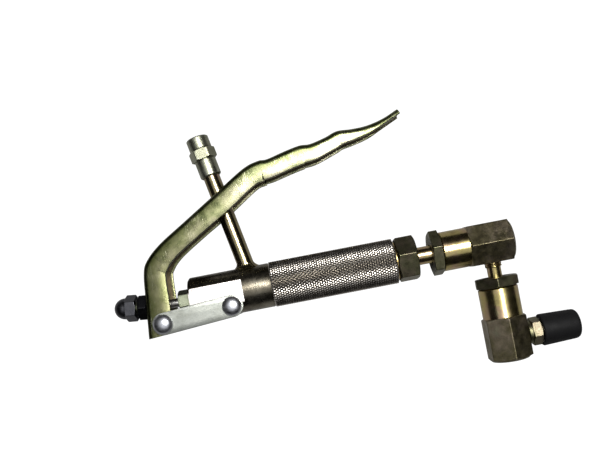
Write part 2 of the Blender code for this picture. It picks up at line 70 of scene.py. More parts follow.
def span(node):
    """A node's lowest and highest corners in the gun's frame, in mm."""
    low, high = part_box(node)
    return gun(low), gun(high)


def axes(origin, along, side=(0, 0, 1)):
    z = Vector(along).normalized()
    x = (Vector(side) - z * z.dot(Vector(side))).normalized()
    place = Matrix((x, z.cross(x), z)).transposed().to_4x4()
    place.translation = Vector(origin)
    return place


BODY_FRONT = span("valve_body")[1].x
PIN_A = gun(joints["lever_squeeze"]["pos_m"])
PIN_B = gun(joints["link_pivot"]["pos_m"])
AXIS_2 = gun(joints["swivel_1_turn"]["pos_m"]).x
COUPLER_V = gun(joints["swivel_2_turn"]["pos_m"]).y
GLAND_1 = span("gland_nut_1")[0].x
GLAND_2 = -span("gland_nut_2")[1].y
HEAD_TOP = span("lever_pin")[1].z

BODY_R, FLAT_Z, FLAT_END = 14.1, 12.2, 36.6
KNURL_R, KNURL_FROM, KNURL_TO = 14.5, 54.9, BODY_FRONT - 0.2
GROOVES, GROOVE_LEAD, GROOVE_DEEP, PER_GROOVE = 52, 2.95, 0.42, 8

BODY = axes((0, 0, 0), (1, 0, 0))
SWIVEL_1 = axes((GLAND_1, 0, 0), (1, 0, 0))
SWIVEL_2 = axes((AXIS_2, -GLAND_2, 0), (0, -1, 0))
COUPLER = axes((0, COUPLER_V, 0), (1, 0, 0))
PIPE_FOOT, PIPE_TOP = Vector((40.4, 15.7, 0)), Vector((24.7, 101.0, 0))
PIPE = axes(PIPE_TOP, PIPE_FOOT - PIPE_TOP)
SCREW_TILT = math.radians(6.5)
NOSE_C = Vector((-19.0, 0, 0))
SCREW = axes(NOSE_C, (-math.cos(SCREW_TILT), math.sin(SCREW_TILT), 0))
AT_A = axes((PIN_A.x, PIN_A.y, 0), (0, 0, 1), (1, 0, 0))
AT_B = axes((PIN_B.x, PIN_B.y, 0), (0, 0, 1), (1, 0, 0))


# ---------------------------------------------------------------- mesh tools
def placed(name, bm, place):
    """A bmesh in a frame's mm becomes an object in world metres."""
    bm.transform(Matrix.Translation(ORIGIN) @ Matrix.Scale(MM, 4) @ place)
    bmesh.ops.recalc_face_normals(bm, faces=bm.faces)
    mesh = bpy.data.meshes.new(name)
    bm.to_mesh(mesh)
    bm.free()
    obj = bpy.data.objects.new(name, mesh)
    bpy.context.scene.collection.objects.link(obj)
    return obj


def piece(name, bm, place, body, node, material, drills=(), smooth=38, second=None):
    """A bmesh becomes a visible piece that rides on a body and stands for a CAD node."""
    obj = placed(name, bm, place)
    obj.data.materials.append(material)
    if second is not None:
        obj.data.materials.append(second)
    for drill in drills:
        bore(obj, *drill)
    obj.data.shade_smooth()
    obj.data.set_sharp_from_angle(angle=math.radians(smooth))
    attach(obj, body)
    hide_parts(node)
    return obj


def bore(obj, bm, place):
    """Cut a bmesh out of an object, and keep the result as its mesh."""
    cutter = placed("cutter", bm, place)
    modifier = obj.modifiers.new("bore", "BOOLEAN")
    modifier.operation = "DIFFERENCE"
    modifier.solver = "EXACT"
    modifier.object = cutter
    bpy.context.view_layer.update()
    result = bpy.data.meshes.new_from_object(obj.evaluated_get(bpy.context.evaluated_depsgraph_get()))
    obj.modifiers.clear()
    obj.data = result
    bpy.data.objects.remove(cutter)


def eased(points, radius=0.3, steps=4):
    """Round the corners of a closed (z, r) outline. A point written (z, r, 0) stays sharp."""
    out = []
    count = len(points)
    for i, point in enumerate(points):
        here = Vector(point[:2])
        before = Vector(points[i - 1][:2]) - here
        after = Vector(points[(i + 1) % count][:2]) - here
        reach = min(radius, before.length * 0.45, after.length * 0.45)
        if len(point) == 3 or here.y == 0 or reach < 0.02:
            out.append((here.x, here.y))
            continue
        start, end = here + before.normalized() * reach, here + after.normalized() * reach
        for k in range(steps + 1):
            t = k / steps
            spot = start * (1 - t) ** 2 + here * 2 * t * (1 - t) + end * t ** 2
            out.append((spot.x, spot.y))
    return out


def stepped(points, step, where):
    """Split the outline's long edges into steps, where a test on the edge's ends allows it."""
    out = []
    for a, b in zip(points, points[1:] + points[:1]):
        parts = 1
        if where(a, b):
            parts = max(1, math.ceil(math.dist(a, b) / step))
        for k in range(parts):
            t = k / parts
            out.append((a[0] + (b[0] - a[0]) * t, a[1] + (b[1] - a[1]) * t))
    return out


def even_angles(count):
    return [2 * math.pi * i / count for i in range(count)]


def hex_angles(corner):
    """Angles round a hexagon, closer together towards its corners."""
    near = (0, 0.7, 1.6, 3.2, 6, 10, 15, 20, 25, 30)
    offsets = [-a for a in reversed(near[1:-1])] + list(near)
    return [corner + math.radians(60 * i + a) for i in range(6) for a in offsets]


def soft_min(values, k):
    low = min(values)
    return low - k * math.log(sum(math.exp((low - v) / k) for v in values))


def spun(outline, angles, radius=None):
    """Spin a closed (z, r) outline. radius(z, r, angle) may change each point's radius."""
    bm = bmesh.new()
    rings = []
    for z, r in outline:
        if r == 0:
            rings.append([bm.verts.new((0, 0, z))])
            continue
        ring = []
        for a in angles:
            rr = r if radius is None else radius(z, r, a)
            ring.append(bm.verts.new((rr * math.cos(a), rr * math.sin(a), z)))
        rings.append(ring)
    count = len(angles)
    for one, two in zip(rings, rings[1:] + rings[:1]):
        if len(one) == 1 and len(two) == 1:
            continue
        for i in range(count):
            j = (i + 1) % count
            corners = []
            for vert in (one[i % len(one)], one[j % len(one)], two[j % len(two)], two[i % len(two)]):
                if vert not in corners:
                    corners.append(vert)
            bm.faces.new(corners)
    return bm


def flats(across, z0, z1, corner, soft=0.16, floor=0.0):
    """Radius rule for a hexagon milled on a turned blank between z0 and z1, with eased edges."""
    def rule(z, r, a):
        if r < floor or not z0 <= z <= z1:
            return r
        sides = []
        for i in range(6):
            c = math.cos(a - corner - math.radians(30 + 60 * i))
            if c > 0.3:
                sides.append(across / 2 / c)
        return soft_min(sides + [r], soft)
    return rule


def blank(across, z0, z1, trim=0.62):
    """Outside of a hexagon's turned blank. trim is its chamfer's length over its height."""
    corner_r = across / math.sqrt(3)
    cham = (corner_r - across / 2) * trim
    return [
        (z0, across / 2 - 0.35), (z0 + 0.02, across / 2 - 0.15), (z0 + cham, corner_r + 0.3),
        (z1 - cham, corner_r + 0.3), (z1 - 0.02, across / 2 - 0.15), (z1, across / 2 - 0.35),
    ]


def hex_piece(name, across, z0, z1, hole, place, body, node, material, corner=0.0, rest=(), before=(),
              trim=0.62):
    """A hexagon with turned parts before and after it, and a bore."""
    outside = eased(list(before) + blank(across, z0, z1, trim) + list(rest) + list(reversed(hole)), 0.18, 3)
    edge = across / 2 - 0.4
    outside = stepped(outside, 0.22, lambda a, b: abs(a[1] - b[1]) > 0.05 and min(a[1], b[1]) >= edge)
    rule = flats(across, z0, z1, corner, soft=0.1, floor=edge)
    return piece(name, spun(outside, hex_angles(corner), rule), place, body, node, material)


def threaded(z0, z1, crest, pitch, depth):
    """Radius rule for a thread between z0 and z1. A negative depth cuts a thread inside a hole."""
    def rule(z, r, a):
        if not z0 <= z <= z1 or abs(r - crest) > 0.02:
            return r
        turn = (z / pitch - a / (2 * math.pi)) % 1.0
        groove = max(0.0, 1 - abs(2 * turn - 1) * 1.25)
        ends = min(1.0, (z - z0) / pitch, (z1 - z) / pitch)
        return r - depth * groove * max(ends, 0)
    return rule


def rod(z0, z1, r, count=48):
    return spun([(z0, 0), (z0, r), (z1, r), (z1, 0)], even_angles(count))


def arc(centre, r, start, end, steps):
    for i in range(steps + 1):
        a = math.radians(start + (end - start) * i / steps)
        yield centre[0] + r * math.cos(a), centre[1] + r * math.sin(a)


# ---------------------------------------------------------------- materials
class Nodes:
    """Short names for building one material's node tree."""

    def __init__(self, name):
        self.material = bpy.data.materials.new(name)
        self.material.use_nodes = True
        self.tree = self.material.node_tree
        self.shader = self.tree.nodes["Principled BSDF"]
        self.coords = self.add("ShaderNodeTexCoord").outputs["Object"]

    def add(self, kind, **values):
        node = self.tree.nodes.new(kind)
        for key, value in values.items():
            setattr(node, key, value)
        return node

    def link(self, source, target):
        self.tree.links.new(source, target)

    def scaled(self, scale, turn=(0, 0, 0)):
        """Object coordinates turned, then stretched."""
        node = self.add("ShaderNodeMapping")
        node.inputs["Rotation"].default_value = turn
        node.inputs["Scale"].default_value = scale
        self.link(self.coords, node.inputs["Vector"])
        return node.outputs["Vector"]

    def noise(self, scale, detail=3.0, rough=0.55, vector=None):
        node = self.add("ShaderNodeTexNoise")
        node.inputs["Scale"].default_value = scale
        node.inputs["Detail"].default_value = detail
        node.inputs["Roughness"].default_value = rough
        self.link(vector or self.coords, node.inputs["Vector"])
        return node.outputs["Fac"]

    def ramp(self, factor, stops):
        node = self.add("ShaderNodeValToRGB")
        elements = node.color_ramp.elements
        while len(elements) < len(stops):
            elements.new(0.5)
        for element, (place, colour) in zip(elements, stops):
            element.position = place
            element.color = (*colour, 1.0)
        self.link(factor, node.inputs["Fac"])
        return node.outputs["Color"]

    def levels(self, factor, low, high, to_low=0.0, to_high=1.0):
        node = self.add("ShaderNodeMapRange")
        for key, value in (("From Min", low), ("From Max", high), ("To Min", to_low), ("To Max", to_high)):
            node.inputs[key].default_value = value
        self.link(factor, node.inputs["Value"])
        return node.outputs["Result"]

    def math(self, kind, a, b):
        node = self.add("ShaderNodeMath", operation=kind)
        for socket, value in zip(node.inputs, (a, b)):
            if isinstance(value, (int, float)):
                socket.default_value = value
            else:
                self.link(value, socket)
        return node.outputs[0]

    def mix(self, factor, a, b, blend="MIX"):
        node = self.add("ShaderNodeMix", data_type="RGBA", blend_type=blend)
        for key, value in ((0, factor), (6, a), (7, b)):
            if isinstance(value, (int, float)):
                node.inputs[key].default_value = value
            elif isinstance(value, tuple):
                node.inputs[key].default_value = (*value, 1.0)
            else:
                self.link(value, node.inputs[key])
        return node.outputs[2]

    def bump(self, height, strength, distance):
        """Stack a bump on what the shader has already."""
        node = self.add("ShaderNodeBump")
        node.inputs["Strength"].default_value = strength
        node.inputs["Distance"].default_value = distance
        self.link(height, node.inputs["Height"])
        old = self.shader.inputs["Normal"]
        if old.is_linked:
            self.link(old.links[0].from_socket, node.inputs["Normal"])
        self.link(node.outputs["Normal"], old)

    def put(self, **values):
        for key, value in values.items():
            socket = self.shader.inputs[key.replace("_", " ")]
            if isinstance(value, (int, float)):
                socket.default_value = value
            elif isinstance(value, tuple):
                socket.default_value = (*value, 1.0)
            else:
                self.link(value, socket)


def plated(name, tones, rough, grain, marks=None):
    """Yellow-passivated zinc: drifting tones, fine grain, and tool marks along one way."""
    n = Nodes(name)
    drift = n.noise(85, 4, 0.6)
    count = len(tones) - 1
    colour = n.ramp(drift, [(0.30 + 0.42 * i / count, tone) for i, tone in enumerate(tones)])
    speckle = n.noise(2600, 2, 0.6)
    colour = n.mix(n.levels(speckle, 0.35, 0.7, 0.0, 0.5), colour, tuple(c * 0.45 for c in tones[0]))
    n.put(Base_Color=colour, Metallic=1.0)
    patches = n.noise(240, 4, 0.6)
    n.put(Roughness=n.levels(patches, 0.3, 0.7, *rough))
    n.bump(speckle, grain, 0.00012)
    if marks is not None:
        lines = n.noise(1.0, 2, 0.5, n.scaled(marks))
        n.bump(lines, 0.16, 0.00012)
    return n.material


OLIVE = [(0.10, 0.095, 0.05), (0.17, 0.165, 0.095), (0.22, 0.185, 0.13), (0.24, 0.25, 0.17)]
GOLD = [(0.36, 0.28, 0.12), (0.55, 0.46, 0.19), (0.52, 0.36, 0.24), (0.60, 0.58, 0.30)]
BRONZE = [(0.10, 0.085, 0.045), (0.20, 0.175, 0.10), (0.30, 0.25, 0.18), (0.34, 0.32, 0.22)]
ALONG_X, ALONG_Y = (3200, 40, 40), (40, 3200, 40)

hex_x = plated("hex_bar_x", OLIVE, (0.30, 0.45), 0.7)
hex_bronze = plated("hex_bronze", BRONZE, (0.32, 0.5), 0.9)
SMALL = [(0.12, 0.13, 0.08), (0.22, 0.24, 0.17), (0.30, 0.32, 0.24)]
PALE = [(0.26, 0.26, 0.18), (0.40, 0.41, 0.31), (0.50, 0.51, 0.42)]
hex_small = plated("hex_small", SMALL, (0.3, 0.45), 0.8)
hex_pale = plated("hex_pale", PALE, (0.26, 0.4), 0.5)
gold_x = plated("gold_turned_x", GOLD, (0.16, 0.26), 0.08, ALONG_X)
gold_y = plated("gold_turned_y", GOLD, (0.16, 0.26), 0.08, ALONG_Y)
PIPE_TONES = [(0.20, 0.16, 0.09), (0.38, 0.33, 0.18), (0.42, 0.30, 0.22)]
LINK_TONES = [(0.27, 0.28, 0.245), (0.36, 0.375, 0.345), (0.42, 0.43, 0.39)]
pipe_zinc = plated("pipe_zinc", PIPE_TONES, (0.14, 0.24), 0.08)
link_zinc = plated("link_zinc", LINK_TONES, (0.34, 0.46), 0.5)
LEVER_DARK, LEVER_PALE = (0.16, 0.16, 0.09), (0.44, 0.42, 0.34)


def lever_material(name):
    """Pressed sheet: painted shade makes it olive at the leg and pale at the handle, and darker near the
    web's bend; mottled and scratched by handling.
    """
    n = Nodes(name)
    split = n.add("ShaderNodeSeparateXYZ")
    n.link(n.coords, split.inputs[0])
    # painted shade: the sheet darkens from the handle towards the leg
    painted_leg_shade = n.levels(split.outputs["X"], -0.125, 0.01)
    base = n.mix(painted_leg_shade, LEVER_DARK, LEVER_PALE)
    drift = n.noise(75, 6, 0.66)
    patches = n.ramp(drift, [
        (0.30, (0.34, 0.42, 0.26)), (0.46, (0.66, 0.70, 0.52)), (0.66, (1.0, 0.97, 0.92))])
    colour = n.mix(1.0, base, patches, "MULTIPLY")
    # painted shade: darker olive near the web's bend, fading out by 7.5 mm of depth
    deep = n.add("ShaderNodeAttribute", attribute_name="deep").outputs["Fac"]
    fade = n.levels(deep, 3.0, 7.5, 1.0, 0.0)
    bend_shade = n.math("MULTIPLY", fade, n.levels(n.noise(160, 4, 0.6), 0.3, 0.6, 0.5, 1.0))
    colour = n.mix(bend_shade, colour, n.mix(1.0, colour, (0.36, 0.42, 0.25), "MULTIPLY"))
    speckle = n.noise(2400, 2, 0.6)
    colour = n.mix(n.levels(speckle, 0.4, 0.7, 0.0, 0.4), colour, (0.12, 0.12, 0.05))
    across = n.scaled((2600, 120, 120), (0, 0, math.radians(-38)))
    scratches = n.levels(n.noise(1.0, 3, 0.6, across), 0.56, 0.72)
    where = n.levels(n.noise(60, 2, 0.5), 0.42, 0.6)
    lines = n.math("MULTIPLY", scratches, where)
    colour = n.mix(n.math("MULTIPLY", lines, 0.4), colour, (0.7, 0.68, 0.57))
    n.put(Base_Color=colour, Metallic=1.0)
    n.put(Roughness=n.levels(n.noise(180, 4, 0.6), 0.3, 0.7, 0.22, 0.4))
    n.bump(speckle, 0.3, 0.0001)
    n.bump(lines, 0.2, 0.0001)
    n.bump(n.noise(110, 3, 0.5), 0.12, 0.0006)
    return n.material


def grip_material():
    """Dark plated bar: light on the knurl's worn tops, and painted shade dark in its grooves."""
    n = Nodes("grip_zinc")
    drift = n.noise(90, 4, 0.6)
    colour = n.ramp(drift, [
        (0.3, (0.095, 0.083, 0.062)), (0.5, (0.18, 0.16, 0.122)), (0.7, (0.26, 0.235, 0.185))])
    wear_and_shade = n.add("ShaderNodeAttribute", attribute_name="wear_and_shade").outputs["Fac"]
    tops = n.levels(wear_and_shade, 0.35, 0.9)
    colour = n.mix(tops, colour, (0.80, 0.75, 0.70))
    # painted shade: the knurl's grooves are coloured near black
    groove_shade = n.levels(wear_and_shade, 0.05, 0.45, 1.0, 0.0)
    split = n.add("ShaderNodeSeparateXYZ")
    n.link(n.coords, split.inputs[0])
    knurled = n.math("GREATER_THAN", split.outputs["X"], (ORIGIN.x + KNURL_FROM * MM))
    colour = n.mix(n.math("MULTIPLY", groove_shade, knurled), colour, (0.035, 0.03, 0.026))
    n.put(Base_Color=colour, Metallic=1.0)
    n.put(Roughness=n.levels(n.noise(300, 3, 0.6), 0.3, 0.7, 0.22, 0.36))
    n.bump(n.noise(1.0, 2, 0.5, n.scaled(ALONG_X)), 0.4, 0.00012)
    return n.material


def milled_material():
    """Bright milled flat, with brown marks across it that thin out away from its rear end."""
    n = Nodes("milled_flat")
    lines = n.noise(1.0, 3, 0.6, n.scaled((1700, 190, 190)))
    split = n.add("ShaderNodeSeparateXYZ")
    n.link(n.coords, split.inputs[0])
    rear = n.levels(split.outputs["X"], ORIGIN.x, ORIGIN.x + FLAT_END * MM, 0.9, 0.15)
    stain = n.math("MULTIPLY", n.levels(lines, 0.5, 0.72), rear)
    n.put(Base_Color=n.mix(stain, (0.84, 0.80, 0.79), (0.30, 0.22, 0.19)), Metallic=1.0)
    n.put(Roughness=n.levels(n.noise(500, 3, 0.6), 0.3, 0.7, 0.28, 0.42))
    n.bump(n.noise(1.0, 2, 0.5, n.scaled((2600, 30, 30))), 0.3, 0.00015)
    return n.material


def steel(name, tone, rough, grain=0.05):
    """Bare or blackened steel, and brass: one tone with a faint drift and grain."""
    n = Nodes(name)
    drift = n.noise(200, 3, 0.6)
    colour = n.mix(n.levels(drift, 0.35, 0.7), tone, tuple(c * 0.8 for c in tone))
    uneven = n.levels(n.noise(500, 3, 0.6), 0.3, 0.7, rough * 0.8, rough * 1.2)
    n.put(Base_Color=colour, Metallic=1.0, Roughness=uneven)
    n.bump(n.noise(2800, 2, 0.6), grain, 0.0001)
    return n.material


def rubber(name, tone=0.005):
    n = Nodes(name)
    grain = n.noise(1800, 3, 0.6)
    pale = (tone * 1.8, tone * 1.8, tone * 2.0)
    n.put(Base_Color=n.mix(n.levels(grain, 0.3, 0.7), (tone, tone, tone), pale))
    n.put(Roughness=n.levels(n.noise(140, 3, 0.5), 0.3, 0.7, 0.5, 0.68), Specular_IOR_Level=0.12)
    n.bump(grain, 0.25, 0.00012)
    return n.material


lever_zinc = lever_material("lever_zinc")
# painted shade: a dark material for the channel's inside, which lies in the walls' shade
lever_inside_shade = steel("lever_inside_shade", (0.15, 0.12, 0.07), 0.4)
grip_zinc = grip_material()
milled = milled_material()
rivet_steel = steel("rivet_steel", (0.58, 0.59, 0.63), 0.34)
plain_steel = steel("plain_steel", (0.55, 0.54, 0.52), 0.3)
black_steel = steel("black_oxide", (0.035, 0.035, 0.04), 0.36, 0.3)
acorn_steel = steel("dark_cap", (0.10, 0.10, 0.11), 0.32, 0.25)
jaw_steel = steel("jaw_steel", (0.12, 0.12, 0.13), 0.3)
brass_plain = steel("brass_plain", (0.60, 0.44, 0.18), 0.28)
boot_rubber = rubber("boot_rubber")
seal_rubber = rubber("seal_rubber", 0.02)
packing = rubber("packing_white", 0.35)

# ---------------------------------------------------------------- valve body


def groove(x):
    """1 at the bottom of a groove, 0 halfway between two."""
    return abs(2 * (x % 1.0) - 1)


def knurl(z, r, a):
    """The valve body's radius: milled flats at the rear, crossed grooves on the grip."""
    if r < 10:
        return r
    if z <= FLAT_END and abs(math.cos(a)) > 0.5:
        return soft_min((r, FLAT_Z / abs(math.cos(a))), 0.1)
    if not KNURL_FROM < z < KNURL_TO:
        return r
    turn = a / (2 * math.pi) * GROOVES
    deep = max(groove(turn + z / GROOVE_LEAD), groove(turn - z / GROOVE_LEAD))
    run_out = min(1.0, (z - KNURL_FROM) / 0.5, (KNURL_TO - z) / 0.4)
    return r - GROOVE_DEEP * run_out * max(0.0, (deep - 0.2) / 0.8)


outside = eased([(BODY_REAR, BODY_R - 1.3), (BODY_REAR + 1.3, BODY_R), (FLAT_END, BODY_R, 0)], 0.25)[:-1]
outside += [(FLAT_END, BODY_R), (FLAT_END + 0.12, BODY_R), (KNURL_FROM - 1.1, BODY_R)]
outside += [(KNURL_FROM - 0.9, BODY_R - 0.25), (KNURL_FROM - 0.3, BODY_R - 0.25), (KNURL_FROM, KNURL_R)]
rows = round((KNURL_TO - KNURL_FROM) / (GROOVE_LEAD / PER_GROOVE))
outside += [(KNURL_FROM + (KNURL_TO - KNURL_FROM) * i / rows, KNURL_R) for i in range(1, rows + 1)]
outside += [(BODY_FRONT - 0.05, KNURL_R - 0.5), (BODY_FRONT, KNURL_R - 0.8)]
inside = [
    (BODY_FRONT, 9.2), (124.0, 9.2), (124.0, 7.2), (52.0, 7.2), (52.0, 6.5), (35.0, 6.5), (35.0, 3.3),
    (17.3, 3.3), (17.3, 5.8), (BODY_REAR, 5.8),
]
body = piece(
    "valve_body_knurled", spun(outside + inside, even_angles(GROOVES * PER_GROOVE), knurl), BODY,
    "gun_body", "valve_body", grip_zinc, smooth=25)
body.data.materials.append(milled)
# knurl height per point: drives the worn light tops and the painted shade in the grooves
wear_and_shade = body.data.attributes.new("wear_and_shade", "FLOAT", "POINT")
for index, vert in enumerate(body.data.vertices):
    spot = gun(vert.co)
    high = math.hypot(spot.y, spot.z) - (KNURL_R - GROOVE_DEEP)
    wear_and_shade.data[index].value = max(0.0, high / GROOVE_DEEP) if spot.x > KNURL_FROM else 0.0
for face in body.data.polygons:
    spot = gun(face.center)
    if abs(face.normal.z) > 0.995 and spot.x < FLAT_END and abs(spot.z) > FLAT_Z - 0.3:
        face.material_index = 1

NUT_REAR, NUT_FRONT = -5.4, BODY_REAR - 0.2
hex_piece(
    "packing_nut_hex", 13.0, NUT_REAR, NUT_FRONT, [(NUT_REAR, 3.3), (8.0, 3.3)], BODY, "gun_body",
    "packing_nut", hex_small, math.radians(24), [(NUT_FRONT, 5.4), (8.0, 5.4)])

# ---------------------------------------------------------------- inlet pipe with its weld, and the fitting
PIPE_R = 5.3


def saddle(r, a, lift):
    """Distance down the pipe's frame at which a point at r, a meets the body's round surface plus lift."""
    z = r * math.cos(a)
    across = PIPE.to_3x3() @ Vector((0, r * math.sin(a), 0))
    down = PIPE.to_3x3() @ Vector((0, 0, 1))
    height = math.sqrt(max((BODY_R + lift) ** 2 - z * z, 1.0))
    return (PIPE_TOP.y + across.y - height) / -down.y


def inlet_pipe():
    bm = bmesh.new()
    angles = even_angles(120)
    rows = [(3.0, None, 9.2), (4.9, None, 9.0), (PIPE_R, None, 9.4), (PIPE_R, None, 40.0)]
    rows += [(PIPE_R, 4.2, None)]
    bead = [(0, 3.0), (0.12, 2.3), (0.55, 1.55), (1.15, 0.95), (1.8, 0.45), (2.3, 0.1), (2.35, 0.02)]
    rows += [(PIPE_R + out, lift, None) for out, lift in bead] + [(3.0, 0.02, None)]
    rings = []
    for r, lift, at in rows:
        ring = []
        for a in angles:
            ripple = 0.0
            if lift is not None and 0.05 < lift < 2.9:
                waves = 0.16 * math.sin(26 * a + 2.0 * math.sin(3 * a))
                ripple = waves + 0.2 * noise.noise(Vector((math.cos(a), math.sin(a), lift)) * 2)
            rr = r + ripple
            s = at if at is not None else saddle(rr, a, lift)
            ring.append(bm.verts.new((rr * math.cos(a), rr * math.sin(a), s)))
        rings.append(ring)
    for one, two in zip(rings, rings[1:] + rings[:1]):
        for i in range(len(angles)):
            j = (i + 1) % len(angles)
            bm.faces.new([one[i], one[j], two[j], two[i]])
    return bm


piece("inlet_pipe_welded", inlet_pipe(), PIPE, "gun_body", "inlet_pipe", pipe_zinc)

FITTING_LEN, FITTING_HEX = 26.5, (8.2, 15.0)
fitting = [(0, 6.3), (0.7, 7.2), (FITTING_HEX[0] - 0.7, 7.2), (FITTING_HEX[0] - 0.1, 6.9)]
fitting += blank(15.0, *FITTING_HEX)
fitting += [(FITTING_HEX[1] + 0.1, 6.6), (FITTING_HEX[1] + 0.5, 6.8)]
fitting += [(FITTING_LEN - 0.9, 6.8), (FITTING_LEN, 5.9)]
fitting += [(FITTING_LEN, 5.6), (8.8, 5.6), (8.8, 4.2), (8.0, 4.9), (0.5, 4.9), (0, 5.4)]
fitting = eased(fitting, 0.18, 3)
fitting = stepped(fitting, 0.22, lambda a, b: abs(a[1] - b[1]) > 0.05 and min(a[1], b[1]) >= 7.1)
fitting = stepped(fitting, 0.12, lambda a, b: abs(a[1] - 4.9) < 0.01 and abs(b[1] - 4.9) < 0.01)
fitting_flats = flats(15.0, *FITTING_HEX, math.radians(30), floor=7.1)
port_thread = threaded(0.6, 7.8, 4.9, 0.907, -0.35)
piece(
    "inlet_fitting_hex",
    spun(fitting, hex_angles(math.radians(30)), lambda z, r, a: port_thread(z, fitting_flats(z, r, a), a)),
    PIPE, "gun_body", "inlet_fitting", hex_pale)

# ---------------------------------------------------------------- outlet adapter and swivels
OUTLET_HEX = (135.5, 148.2)
hex_piece(
    "outlet_adapter_hex", 26.2, *OUTLET_HEX, [(124.2, 3.0), (134.0, 3.0), (134.0, 5.4), (OUTLET_HEX[1], 5.4)],
    BODY, "gun_body", "outlet_adapter", hex_x, math.radians(-11), (), [(124.2, 8.6), (OUTLET_HEX[0], 8.6)])
washer = eased([(134.55, 8.9), (134.55, 12.2), (135.2, 12.2), (135.2, 8.9)], 0.2)
piece("outlet_washer_ring", spun(washer, even_angles(96)), BODY, "gun_body", "outlet_washer", brass_plain)

BARREL_R, SWIVEL_AF = 12.6, 25.6
GLAND_AF, GLAND_LEN = 26.0, 6.3
NECK_1_R, NECK_2_R = 5.7, 4.45


def spindle(number, place, body, thread, neck_r, material):
    """Hollow spindle: thread, collar, neck, thrust flange and sealed tail."""
    start, shoulder, neck = thread
    outline = [
        (start, 4.3), (start + 0.6, 4.8), (shoulder, 4.8), (shoulder, 5.3), (neck, 5.3),
        (neck + 0.35, neck_r), (13.3, neck_r), (13.3, 9.0), (17.2, 9.0), (17.2, 5.0), (25.0, 5.0),
        (25.0, 1.75), (start, 1.75),
    ]
    def on_thread(a, b):
        return abs(a[1] - 5.3) < 0.01 and abs(b[1] - 5.3) < 0.01 and neck - shoulder > 1

    outline = stepped(eased(outline, 0.15, 3), 0.14, on_thread)
    rule = threaded(shoulder, neck, 5.3, 1.0, 0.4)
    name = f"swivel_spindle_{number}"
    piece(name + "_turned", spun(outline, even_angles(72), rule), place, body, name, material)


def swivel(number, place, body, neck_r, corner, hex_from, length, material, port):
    """Gland nut, and barrel with its hexagonal end, rounded rim and side port."""
    hex_piece(
        f"gland_nut_{number}_hex", GLAND_AF, 0, GLAND_LEN, [(0, neck_r + 0.4), (11.5, neck_r + 0.4)], place,
        body, f"gland_nut_{number}", hex_x, corner, [(GLAND_LEN, 9.2), (11.5, 9.2)], trim=0.3)
    barrel_from = GLAND_LEN + 0.3
    corner_r = SWIVEL_AF / math.sqrt(3)
    outline = [
        (barrel_from, BARREL_R - 0.7), (barrel_from + 0.6, BARREL_R), (hex_from - 0.05, BARREL_R),
        (hex_from, SWIVEL_AF / 2 - 0.1), (hex_from + 0.9, corner_r + 0.3), (length - 2.1, corner_r + 0.3),
        (length - 1.3, SWIVEL_AF / 2 + 0.2), (length - 1.0, 12.5), (length - 0.3, 11.9), (length, 10.8),
        (length - 0.5, 9.8), (length - 0.5, 0), (42.0, 0), (42.0, 3.0), (27.0, 3.0), (27.0, 5.3),
        (22.5, 5.3), (22.5, 7.1), (19.9, 7.1), (19.9, 5.3), (18.0, 5.3), (18.0, 9.5), (barrel_from, 9.5),
    ]
    outline = eased(outline, 0.25, 3)
    outline = stepped(outline, 0.25, lambda a, b: abs(a[1] - b[1]) > 0.05 and min(a[1], b[1]) > BARREL_R)
    rule = flats(SWIVEL_AF, hex_from, length - 1.0, 0.0, soft=0.1, floor=BARREL_R + 0.05)
    barrel = piece(
        f"swivel_body_{number}_turned", spun(outline, hex_angles(0.0), rule), place, body,
        f"swivel_body_{number}", material, [port])
    barrel.data.materials.append(hex_bronze)
    turned_end = place @ Vector((0, 0, hex_from - 0.02))
    along = place.to_3x3() @ Vector((0, 0, 1))
    for face in barrel.data.polygons:
        if (gun(face.center) - turned_end).dot(along) > 0:
            face.material_index = 1


spindle(1, SWIVEL_1, "gun_body", (-23.0, -9.6, -9.2), NECK_1_R, gold_x)
port_1 = (rod(1, 20, 5.4), axes((AXIS_2, 0, 0), (0, -1, 0)))
swivel(1, SWIVEL_1, "swivel_1", NECK_1_R, math.radians(-14), 23.7, 52.25, gold_x, port_1)
spindle(2, SWIVEL_2, "swivel_1", (6.0 - GLAND_2, 13.0 - GLAND_2, 15.5 - GLAND_2), NECK_2_R, gold_y)
port_2 = (rod(1, 20, 5.1), axes((AXIS_2, COUPLER_V, 0), (1, 0, 0)))
swivel(2, SWIVEL_2, "swivel_2", NECK_2_R, math.radians(10), 25.7, 53.6, gold_y, port_2)

# ---------------------------------------------------------------- coupler
COLLAR_FROM, HEX_FROM, HEX_TO = 209.0, 211.0, 217.0
collar = [(203.0, 4.8), (COLLAR_FROM, 4.8), (COLLAR_FROM, 7.4), (HEX_FROM, 7.4)]
hex_piece(
    "coupler_adapter_hex", 16.0, HEX_FROM, HEX_TO, [(203.0, 1.6), (222.0, 1.6)], COUPLER, "swivel_2",
    "coupler_adapter", hex_x, math.radians(16), [(HEX_TO, 5.9), (222.0, 5.9)], collar)
sleeve = eased([(217.6, 6.2), (217.6, 7.8), (238.5, 7.8), (239.8, 6.6), (239.8, 5.2), (233.5, 6.2)], 0.2)
piece("coupler_sleeve", spun(sleeve, even_angles(80)), COUPLER, "swivel_2", "coupler_body", plain_steel)
boot = [(217.3, 8.1), (217.3, 9.5), (218.0, 10.2), (237.8, 9.5)]
boot += list(arc((238.9, 6.5), 2.9, 75, 0, 8)) + [(241.4, 5.6), (240.2, 5.4), (240.2, 8.1)]
boot = spun(eased(boot, 0.5, 5), even_angles(96))
piece("coupler_boot_rubber", boot, COUPLER, "swivel_2", "coupler_boot", boot_rubber)

